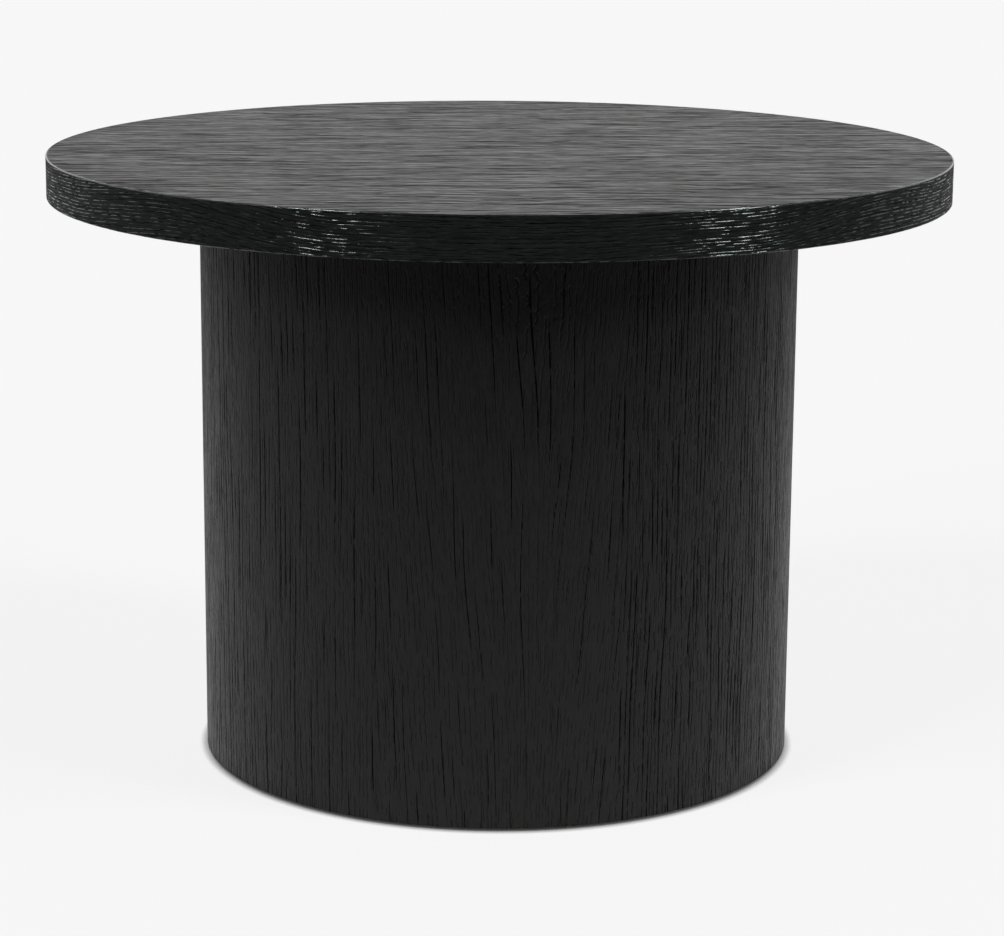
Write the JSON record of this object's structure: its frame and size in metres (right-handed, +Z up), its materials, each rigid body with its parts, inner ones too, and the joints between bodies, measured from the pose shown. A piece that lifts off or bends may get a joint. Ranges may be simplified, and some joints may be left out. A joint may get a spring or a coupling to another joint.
{
  "type": "coffee table",
  "caption": "Round coffee table: a thick disc top bolted to a wide hollow drum, both veneered in black stained oak.",
  "frame": {"origin": "on the floor, under the middle of the drum", "axes": "+Z up, -Y towards the front, +X to the right seen from the front and along the top's grain"},
  "size_m": [0.6, 0.6, 0.408],
  "materials": {
    "black_oak_top": "open-pored oak veneer, stained black, grain along X, satin lacquer",
    "black_oak_drum": "open-pored oak veneer, stained black, upright grain, satin lacquer",
    "black_oak_edge": "oak edge strip, stained black, grain along the edge, satin lacquer",
    "black_oak_under": "oak balancing veneer, stained black, matt",
    "board": "raw fibreboard",
    "black_board": "fibreboard, painted black, matt",
    "bent_ply": "raw bent plywood",
    "pine": "planed pine",
    "beech": "turned beech",
    "zinc_steel": "zinc-plated steel",
    "nylon": "moulded nylon, matt"
  },
  "bodies": {
    "root": {"base_ring": "black_board", "drum_inner_ply": "bent_ply", "drum_leaf_1": "black_oak_drum", "drum_leaf_2": "black_oak_drum", "drum_leaf_3": "black_oak_drum", "drum_leaf_4": "black_oak_drum", "drum_leaf_5": "black_oak_drum", "drum_leaf_6": "black_oak_drum", "drum_leaf_7": "black_oak_drum", "drum_leaf_8": "black_oak_drum", "drum_outer_ply": "bent_ply", "flat_washers": "zinc_steel", "glide_1": "nylon", "glide_2": "nylon", "glide_3": "nylon", "glide_4": "nylon", "glide_5": "nylon", "glide_6": "nylon", "glide_7": "nylon", "glide_8": "nylon", "glide_screws": "zinc_steel", "locating_dowels": "beech", "mid_rib": "board", "mounting_disc": "board", "post_1": "pine", "post_2": "pine", "post_3": "pine", "post_4": "pine", "post_screws_lower": "zinc_steel", "post_screws_upper": "zinc_steel", "spring_washers": "zinc_steel", "top_back_veneer": "black_oak_under", "top_bolts": "zinc_steel", "top_core": "board", "top_edge_band": "black_oak_edge", "top_inserts": "zinc_steel", "top_leaf_1": "black_oak_top", "top_leaf_2": "black_oak_top", "top_leaf_3": "black_oak_top", "top_leaf_4": "black_oak_top", "top_leaf_5": "black_oak_top"}
  },
  "joints": []
}
